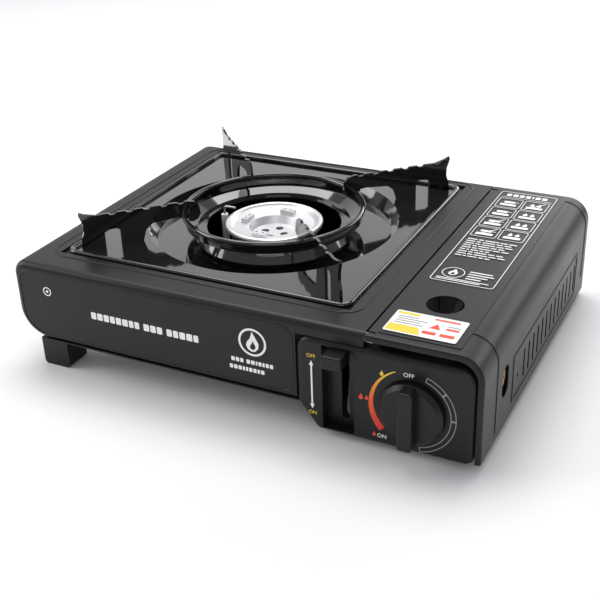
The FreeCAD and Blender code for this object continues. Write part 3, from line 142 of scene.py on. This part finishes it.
inkLook = {"spread": 0.05, "roughness": 0.42, "roughSpread": 0.1, "grainScale": 1800, "cloudScale": 60,
           "relief": 0.2, "depth": 0.00003}
for name, colour in inks.items():
    materials[name] = makeFinish("ink_" + name, {"colour": colour, **inkLook})
for part in frame["record"].get("subparts", []):
    node = nodes.get(part["node"])
    if node is not None:
        finish = materials[part["material_slot"]]
        if not node.data.materials:
            node.data.materials.append(finish)
        for slot in node.material_slots:
            slot.material = finish
print("finishes assigned:", len(finishes))

# places taken from the frame, in millimetres
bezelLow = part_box("control_bezel")[0] / mm
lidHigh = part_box("cartridge_lid")[1] / mm
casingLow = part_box("main_casing")[0] / mm
knobLow, knobHigh = (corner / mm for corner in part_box("control_knob"))
knobX, knobZ = (knobLow.x + knobHigh.x) / 2, (knobLow.z + knobHigh.z) / 2
frontStep = 0.55  # from the casing's foremost edge back to the flat front that is printed on
faces = {  # how a print's own x, y and thickness lie on each face, and where the face is
    "casing": Matrix(((1, 0, 0, 0), (0, 0, -1, casingLow.y + frontStep), (0, 1, 0, 0), (0, 0, 0, 1))),
    "bezel": Matrix(((1, 0, 0, 0), (0, 0, -1, bezelLow.y), (0, 1, 0, 0), (0, 0, 0, 1))),
    "lid": Matrix(((1, 0, 0, 0), (0, 1, 0, 0), (0, 0, 1, lidHigh.z), (0, 0, 0, 1))),
}
inkThickness = 0.12
inkSink = 0.02  # how far the back of a print lies inside its face
capitalShare = 0.7  # a capital letter's height over the font's size


def deselect():
    if bpy.context.object and bpy.context.object.mode != "OBJECT":
        bpy.ops.object.mode_set(mode="OBJECT")
    bpy.ops.object.select_all(action="DESELECT")


def asMesh(piece, matrix):  # makes a curve or text a mesh with its place in its points
    deselect()
    piece.select_set(True)
    bpy.context.view_layer.objects.active = piece
    if piece.type != "MESH":
        bpy.ops.object.convert(target="MESH")
        piece = bpy.context.object
    piece.data.transform(matrix)
    return piece


def arc(x, y, radius, start, end, steps):
    turns = [math.radians(start + (end - start) * i / steps) for i in range(steps + 1)]
    return [(x + radius * math.cos(turn), y + radius * math.sin(turn)) for turn in turns]


def bar(x, y, width, height, corner, steps=4):  # rounded bar from its lower left corner
    corners = [(x + width - corner, y + height - corner, 0), (x + corner, y + height - corner, 90),
               (x + corner, y + corner, 180), (x + width - corner, y + corner, 270)]
    return [point for cx, cy, turn in corners for point in arc(cx, cy, corner, turn, turn + 90, steps)]


def disc(x, y, radius, steps=32):
    return arc(x, y, radius, 0, 360 * (steps - 1) / steps, steps - 1)


def band(x, y, inner, outer, start, end, steps):
    return arc(x, y, outer, start, end, steps) + arc(x, y, inner, end, start, steps)


def flame(x, y, size):  # a plain drop with a leaning tip
    side = [(0.0, 0.62), (0.2, 0.28), (0.34, 0.02), (0.31, -0.24), (0.14, -0.43), (-0.05, -0.46),
            (-0.25, -0.36), (-0.34, -0.14), (-0.26, 0.08), (-0.14, 0.2), (-0.08, 0.36)]
    return [(x + size * u, y + size * v) for u, v in side]


def printed(name, outlines, face, body, ink, lift=0.0):
    # even-odd outlines, so a shape inside another is a hole
    sheet = bpy.data.curves.new(name, "CURVE")
    sheet.dimensions, sheet.fill_mode = "2D", "BOTH"
    sheet.extrude = inkThickness / 2 * mm
    for outline in outlines:
        spline = sheet.splines.new("POLY")
        spline.points.add(len(outline) - 1)
        for point, (u, v) in zip(spline.points, outline):
            point.co = (u * mm, v * mm, 0, 1)
        spline.use_cyclic_u = True
    piece = bpy.data.objects.new(name, sheet)
    bpy.context.collection.objects.link(piece)
    return settle(piece, face, body, ink, lift)


def settle(piece, face, body, ink, lift=0.0):
    matrix = faces[face].copy()
    matrix.translation *= mm
    rise = Matrix.Translation((0, 0, (inkThickness / 2 - inkSink + lift) * mm))
    piece = asMesh(piece, matrix @ rise)
    piece.data.materials.clear()
    piece.data.materials.append(materials[ink])
    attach(piece, body)
    return piece


def word(name, text, x, y, height, face, body, ink):
    deselect()
    bpy.ops.object.text_add()
    piece = bpy.context.object
    piece.name = piece.data.name = name
    piece.data.body = text
    piece.data.align_x, piece.data.align_y = "CENTER", "CENTER"
    piece.data.size = height / capitalShare * mm
    piece.data.extrude = inkThickness / 2 * mm
    piece.data.resolution_u = 4
    piece = asMesh(piece, Matrix.Translation((x * mm, y * mm, 0)))
    return settle(piece, face, body, ink)


def blocks(x, y, height, widths, gap):  # plain blocks where a line of print would be; below zero is a space
    outlines = []
    for width in widths:
        if width > 0:
            outlines.append(bar(x, y, width, height, height * 0.14))
        x += abs(width) + gap
    return outlines


def lines(x, y, width, shares, pitch, height, corner=0.3):  # bars one below another, each a share of width
    return [bar(x, y - row * pitch, width * share, height, corner) for row, share in enumerate(shares)]


def flameBadge(x, y, radius, line, flameSize, flameDrop, coreSize, coreAside, coreDrop):
    return [disc(x, y, radius, 40), disc(x, y, radius - line, 40), flame(x, y - flameDrop, flameSize),
            flame(x + coreAside, y - coreDrop, coreSize)]


# marks on the burner bay's front
title = {"x": -106.8, "y": 47.4, "height": 5.2, "gap": 0.95,
         "widths": [4.1, 4.4, 4.2, 3.9, 4.2, 4.4, 3.6, 3.7, -1.6, 4.4, 4.3, 4.1, -1.6, 4.1, 3.9, 4.4, 4.5, 3.7]}
printed("casing_title_print", blocks(**title), "casing", "stove_body", "white")

badge = {"x": 18.7, "y": 57, "radius": 10, "line": 1.5, "flameSize": 13.5, "flameDrop": 0.6,
         "coreSize": 6, "coreAside": 0.2, "coreDrop": 2.6}
printed("casing_badge_print", flameBadge(**badge), "casing", "stove_body", "white")

ring = {"x": -142.6, "y": 61, "radius": 3.4, "line": 0.8, "dotShare": 0.32}
upperLine = {"x": 2.5, "y": 40.6, "height": 3, "gap": 0.75,
             "widths": [2.5, 2.6, 2.3, -0.8, 2.6, 2.6, 1.2, 2.2, 1.6, 2.2, 2.3]}
lowerLine = {"x": 1, "y": 34.8, "height": 3, "gap": 0.75,
             "widths": [2.4, 2.6, 2.4, 1.6, 1.6, 2.3, 2.3, 1.6, 2.6]}


def ringMark(x, y, radius, line, dotShare):
    return [disc(x, y, radius), disc(x, y, radius - line), disc(x, y, radius * dotShare, 16)]


printed("casing_small_print", ringMark(**ring) + blocks(**upperLine) + blocks(**lowerLine), "casing",
        "stove_body", "white")
print("casing marks made")

# marks on the control bezel: the lever's arrow, with its two words
arrow = {"x": 60.4, "low": 19.3, "high": 54.4, "half": 1.5, "shaft": 0.55, "head": 3.4}
leverWords = {"height": 2.5, "off": (60.4, 57.6), "on": (60.6, 16.4)}


def doubleArrow(x, low, high, half, shaft, head):
    return [(x, high), (x - half, high - head), (x - shaft, high - head), (x - shaft, low + head),
            (x - half, low + head), (x, low), (x + half, low + head), (x + shaft, low + head),
            (x + shaft, high - head), (x + half, high - head)]


printed("lever_arrow_print", [doubleArrow(**arrow)], "bezel", "stove_body", "white")
word("lever_off_print", "OFF", *leverWords["off"], leverWords["height"], "bezel", "stove_body", "yellow")
word("lever_on_print", "ON", *leverWords["on"], leverWords["height"], "bezel", "stove_body", "yellow")

# heat mark and scale round the knob, with angles in degrees from the right
heat = {"outer": 28.2, "thick": 4.6, "thin": 0.6, "start": 113, "end": 222, "steps": 40}
scale = {"inner": 24.4, "outer": 28.0, "marks": (71, 40, 0, -79), "line": 0.5, "lineTurn": 1.1}
dialWords = {"height": 2.8, "off": (124.6, 58.9), "on": (107.6, 11.2)}
dialFlames = {"low": [(107.3, 56.4, 3.6)], "high": [(93.6, 36.6, 4.2), (97.4, 36.6, 3.4), (102.4, 11.6, 3.2)]}


def heatBand(outer, thick, thin, start, end, steps):  # grows from thin to thick as it goes round
    innerEdge = []
    for i in range(steps + 1):
        radius = outer - (thin + (thick - thin) * i / steps)
        turn = math.radians(start + (end - start) * i / steps)
        innerEdge.append((knobX + radius * math.cos(turn), knobZ + radius * math.sin(turn)))
    return arc(knobX, knobZ, outer, start, end, steps) + innerEdge[::-1]


def scaleBand(inner, outer, marks, line, lineTurn):  # an outlined band, parted at each mark
    outlines = [band(knobX, knobZ, inner, outer, marks[0], marks[-1], 40)]
    for first, last in zip(marks, marks[1:]):
        outlines.append(band(knobX, knobZ, inner + line, outer - line, first - lineTurn, last + lineTurn, 20))
    return outlines


def makeHeatInk():  # yellow at the low flame's end, through orange to red
    material = bpy.data.materials.new("ink_heat")
    material.use_nodes = True
    material.node_tree.nodes.clear()
    wire = Wire(material.node_tree)
    place = wire.node("TexCoord", output="Object")
    height = wire.node("SeparateXYZ", None, {"Vector": place}, 2)
    low, high = (knobZ - heat["outer"]) * mm, (knobZ + heat["outer"]) * mm
    share = (height - low) * (1 / (high - low))
    stops = [(0.15, (0.6, 0.02, 0.01)), (0.55, (0.78, 0.1, 0.01)), (0.8, (0.86, 0.38, 0.02)),
             (0.97, (0.88, 0.66, 0.04))]
    colour = wire.node("ValToRGB", {"stops": stops}, {"Fac": share})
    grain = wire.node("TexNoise", None, {"Vector": place, "Scale": 1800.0, "Detail": 2.0})
    relief = wire.node("Bump", None, {"Strength": 0.2, "Distance": 0.00003, "Height": grain})
    shader = wire.node("BsdfPrincipled", None, {"Base Color": colour, "Roughness": grain * 0.1 + 0.37,
                                                "Normal": relief})
    wire.node("OutputMaterial", None, {"Surface": shader})
    return material


materials["heat"] = makeHeatInk()
printed("dial_heat_print", [heatBand(**heat)], "bezel", "stove_body", "heat")
printed("dial_scale_print", scaleBand(**scale), "bezel", "stove_body", "grey")
word("dial_off_print", "OFF", *dialWords["off"], dialWords["height"], "bezel", "stove_body", "white")
word("dial_on_print", "ON", *dialWords["on"], dialWords["height"], "bezel", "stove_body", "white")
printed("dial_low_flame_print", [flame(*drop) for drop in dialFlames["low"]], "bezel", "stove_body", "yellow")
printed("dial_high_flame_print", [flame(*drop) for drop in dialFlames["high"]], "bezel", "stove_body", "red")
print("bezel marks made")

# guide label on the lid: its frame and heading
label = {"left": 105, "right": 148, "low": -39, "high": 124, "line": 0.55, "corner": 2.5}
heading = {"inset": 5.5, "down": 8.2, "height": 4.6, "gap": 1.2, "widths": [3.6, 3.8, 3.6, 3.6, 1.3, 3.8, 3.8],
           "ruleInset": 2.5, "ruleDown": 10.8, "ruleHeight": 0.5, "ruleCorner": 0.2}
labelLeft, labelLow, labelHigh = label["left"], label["low"], label["high"]
labelWidth = label["right"] - labelLeft


def labelFrame(line, corner):
    height = labelHigh - labelLow
    return [bar(labelLeft, labelLow, labelWidth, height, corner, 6),
            bar(labelLeft + line, labelLow + line, labelWidth - 2 * line, height - 2 * line, corner - line, 6)]


def labelHeading(look):
    words = blocks(labelLeft + look["inset"], labelHigh - look["down"], look["height"], look["widths"],
                   look["gap"])
    rule = bar(labelLeft + look["ruleInset"], labelHigh - look["ruleDown"], labelWidth - 2 * look["ruleInset"],
               look["ruleHeight"], look["ruleCorner"])
    return words + [rule]


printed("label_frame_print", labelFrame(label["line"], label["corner"]) + labelHeading(heading), "lid", "lid",
        "white")

# two columns of pictograms, some of them struck through
guide = {"rows": 4, "inset": 2.5, "columnGap": 1.5, "cellHeight": 17.5, "rowGap": 1.6, "down": 30.5,
         "struck": (1, 4, 6), "strikeLift": 0.02}
cell = {"line": 0.5, "corner": 1.6, "innerCorner": 1.2,
        "stoveInset": 3, "stoveRise": 3.4, "stoveHeight": 3.6, "panInset": 5, "panRise": 8.6, "panHeight": 3.4,
        "handleInset": 5.6, "handleRise": 10.2, "handleLength": 3.4, "handleHeight": 0.7,
        "flames": (0.36, 0.64), "flameRise": 10.4, "flameSize": 5,
        "strikeLeft": 2.6, "strikeRight": 3.4, "strikeMargin": 2, "strikeWidth": 1}
cellWidth = (labelWidth - 2 * guide["inset"] - guide["columnGap"]) / 2
rowPitch = guide["cellHeight"] + guide["rowGap"]


def pictogram(x, y, width, height, hasPan):  # a little stove with a pan or two flames, in an outlined cell
    line = cell["line"]
    drawn = [bar(x, y, width, height, cell["corner"]),
             bar(x + line, y + line, width - 2 * line, height - 2 * line, cell["innerCorner"]),
             bar(x + cell["stoveInset"], y + cell["stoveRise"], width - 2 * cell["stoveInset"],
                 cell["stoveHeight"], 0.9)]
    if hasPan:
        drawn.append(bar(x + cell["panInset"], y + cell["panRise"], width - 2 * cell["panInset"],
                         cell["panHeight"], 0.8))
        drawn.append(bar(x + width - cell["handleInset"], y + cell["handleRise"], cell["handleLength"],
                         cell["handleHeight"], 0.3))
    else:
        for share in cell["flames"]:
            drawn.append(flame(x + width * share, y + cell["flameRise"], cell["flameSize"]))
    return drawn


def strike(x, y, width, height):  # a slanting line from corner to corner of a cell
    low, high = y + cell["strikeMargin"], y + height - cell["strikeMargin"]
    start, end = x + cell["strikeLeft"], x + width - cell["strikeRight"]
    return [(start, low), (start + cell["strikeWidth"], low), (end + cell["strikeWidth"], high), (end, high)]


guideOutlines, strikeOutlines = [], []
for kind in range(guide["rows"] * 2):
    spot = (labelLeft + guide["inset"] + kind % 2 * (cellWidth + guide["columnGap"]),
            labelHigh - guide["down"] - kind // 2 * rowPitch, cellWidth, guide["cellHeight"])
    guideOutlines += pictogram(*spot, kind % 2 == 0)
    if kind in guide["struck"]:
        strikeOutlines.append(strike(*spot))
printed("label_guide_print", guideOutlines, "lid", "lid", "white")
printed("label_strike_print", strikeOutlines, "lid", "lid", "white", guide["strikeLift"])

# block of text under the pictograms: each line's share of the width, and each word's share of its line
smallText = {"inset": 3.5, "below": 6.5, "pitch": 3.5, "height": 1.25, "gap": 1,
             "lines": (1, 0.92, 0.97, 0.84, 0.95, 0.6, 0.9, 0.96, 0.7), "words": (0.22, 0.13, 0.3, 0.17, 0.18)}


def textBlock(inset, below, pitch, height, gap, lines, words):
    outlines = []
    y = labelHigh - guide["down"] - (guide["rows"] - 1) * rowPitch - below
    for lineShare in lines:
        x, span = labelLeft + inset, (labelWidth - 2 * inset) * lineShare
        for share in words:
            outlines.append(bar(x, y, span * share - gap, height, 0.3))
            x += span * share
        y -= pitch
    return outlines


printed("label_text_print", textBlock(**smallText), "lid", "lid", "white")

# care mark at the label's foot, with lines beside and below it
careBadge = {"x": labelLeft + 12, "y": labelLow + 14, "radius": 7.6, "line": 0.6,
             "flameSize": 9, "flameDrop": 0, "coreSize": 4, "coreAside": 0, "coreDrop": 1.4}
careBeside = {"x": labelLeft + 22, "y": labelLow + 18, "width": 17, "shares": (0.9, 1.0, 0.8, 0.6),
              "pitch": 3.4, "height": 1.3}
careBelow = {"x": labelLeft + 3.5, "y": labelLow + 4.5, "width": labelWidth - 8, "shares": (1.0, 0.85),
             "pitch": 1.9, "height": 0.9}
printed("label_care_print", flameBadge(**careBadge) + lines(**careBeside) + lines(**careBelow), "lid", "lid",
        "white")

# warning sticker: distances in from its edges, and places across it as shares of its width
sticker = {"left": 103, "right": 149, "low": -113.5, "high": -86.5, "corner": 1.4, "lift": 0.1,
           "bandInset": 1.2, "bandLow": 1.4, "bandHigh": 9.5, "bandLowEnd": 0.5, "bandHighEnd": 0.42,
           "tabDown": 4.2, "tabShare": 0.3, "tabHeight": 2.6,
           "triangle": (0.55, 11.8, 7, 6.2),  # share across, rise, width and height
           "redBars": [(0.5, 4.4, 8.5, 3.4, 0.5), (0.74, 4.4, 9, 3.4, 0.5), (0.77, 13, 8, 2.2, 0.4),
                       (0.55, 22.4, 16, 1.8, 0.4)],  # share across, rise, width, height and corner
           "textInset": 3, "textRise": 11.6, "textShares": (0.4, 0.34, 0.42, 0.28), "textPitch": 2.7,
           "textHeight": 0.9, "lastLine": (0.77, 17, 8)}
stickerLook = {"colour": (0.84, 0.84, 0.82), "spread": 0.03, "roughness": 0.34, "roughSpread": 0.08,
               "grainScale": 900, "cloudScale": 40, "relief": 0.15, "depth": 0.00003, "coat": 0.25}
stickerLeft, stickerLow, stickerHigh = sticker["left"], sticker["low"], sticker["high"]
stickerWidth = sticker["right"] - stickerLeft


def stickerBand(look):
    start = stickerLeft + look["bandInset"]
    low, high = stickerLow + look["bandLow"], stickerLow + look["bandHigh"]
    slanted = [(start, low), (stickerLeft + stickerWidth * look["bandLowEnd"], low),
               (stickerLeft + stickerWidth * look["bandHighEnd"], high), (start, high)]
    tab = bar(start, stickerHigh - look["tabDown"], stickerWidth * look["tabShare"], look["tabHeight"], 0.4)
    return [slanted, tab]


def stickerRed(look):
    share, rise, width, height = look["triangle"]
    x, y = stickerLeft + stickerWidth * share, stickerLow + rise
    outlines = [[(x, y), (x + width, y), (x + width / 2, y + height)]]
    for share, rise, width, height, corner in look["redBars"]:
        outlines.append(bar(stickerLeft + stickerWidth * share, stickerLow + rise, width, height, corner))
    return outlines


def stickerText(look):  # the lines are counted upwards
    share, rise, width = look["lastLine"]
    text = lines(stickerLeft + look["textInset"], stickerLow + look["textRise"], stickerWidth,
                 look["textShares"], -look["textPitch"], look["textHeight"])
    return text + [bar(stickerLeft + stickerWidth * share, stickerLow + rise, width, look["textHeight"], 0.3)]


materials["paper"] = makeFinish("sticker_paper", stickerLook)
paper = bar(stickerLeft, stickerLow, stickerWidth, stickerHigh - stickerLow, sticker["corner"], 6)
printed("sticker_paper", [paper], "lid", "lid", "paper")
printed("sticker_band", stickerBand(sticker), "lid", "lid", "yellow", sticker["lift"])
printed("sticker_red", stickerRed(sticker), "lid", "lid", "red", sticker["lift"])
printed("sticker_text", stickerText(sticker), "lid", "lid", "grey", sticker["lift"])
print("lid label and sticker made")

# paper floor and even grey world
stage = {"size": 8, "world": (0.93, 0.95, 1.0, 1), "strength": 0.42}
floorLook = {"colour": (0.86, 0.86, 0.86), "spread": 0.01, "roughness": 0.7, "roughSpread": 0.05,
             "grainScale": 300, "cloudScale": 1.5, "relief": 0.02, "depth": 0.0001}
deselect()
bpy.ops.mesh.primitive_plane_add(size=stage["size"], location=(0, 0, 0))
floor = bpy.context.object
floor.name = "floor"
floor.data.materials.append(makeFinish("floor_paper", floorLook))

world = bpy.data.worlds.new("studio")
bpy.context.scene.world = world
world.use_nodes = True
background = world.node_tree.nodes["Background"]
background.inputs["Color"].default_value = stage["world"]
background.inputs["Strength"].default_value = stage["strength"]

studio = [  # name, place, aimed at, size, power in watts
    ("top_box", (-0.25, 0.45, 1.5), (0, 0, 0.05), (1.5, 0.9), 20),
    ("left_box", (-1.4, -0.5, 0.8), (0, 0, 0.06), (0.9, 1.0), 11),
    ("front_box", (0.6, -1.7, 0.7), (0, 0, 0.04), (1.3, 0.7), 4.5),
    ("rear_strip", (0.5, 1.3, 0.55), (0, 0, 0.08), (1.6, 0.35), 6),
    ("rear_panel", (-1.05, 2.0, 1.15), (0, 0, 0.08), (2.6, 1.5), 6),
]
for name, spot, aim, (width, height), power in studio:
    light = bpy.data.lights.new(name, "AREA")
    light.shape, light.size, light.size_y, light.energy = "RECTANGLE", width, height, power
    lamp = bpy.data.objects.new(name, light)
    lamp.location = spot
    lamp.rotation_euler = (Vector(aim) - Vector(spot)).to_track_quat("-Z", "Y").to_euler()
    bpy.context.collection.objects.link(lamp)

# camera: its angles in degrees, its lens and sensor in millimetres
view = {"eye": (0.3152, -0.6275, 0.3915), "turn": 27.39, "rise": 27.6, "roll": -2.10, "lens": 63.99,
        "sensor": 36, "near": 0.01}
turn, rise, roll = (math.radians(view[key]) for key in ("turn", "rise", "roll"))
backward = Vector((math.sin(turn) * math.cos(rise), -math.cos(turn) * math.cos(rise), math.sin(rise)))
level = Vector((math.cos(turn), math.sin(turn), 0))
upward = backward.cross(level)
across = math.cos(roll) * level + math.sin(roll) * upward
top = -math.sin(roll) * level + math.cos(roll) * upward
lens = bpy.data.cameras.new("camera")
lens.lens, lens.sensor_width, lens.clip_start = view["lens"], view["sensor"], view["near"]
bpy.context.scene.view_settings.view_transform = "Standard"  # plain paper white and deep blacks
camera = bpy.data.objects.new("camera", lens)
axes = Matrix((across, top, backward)).transposed().to_4x4()
camera.matrix_world = Matrix.Translation(view["eye"]) @ axes
bpy.context.collection.objects.link(camera)
bpy.context.scene.camera = camera
print("studio ready")
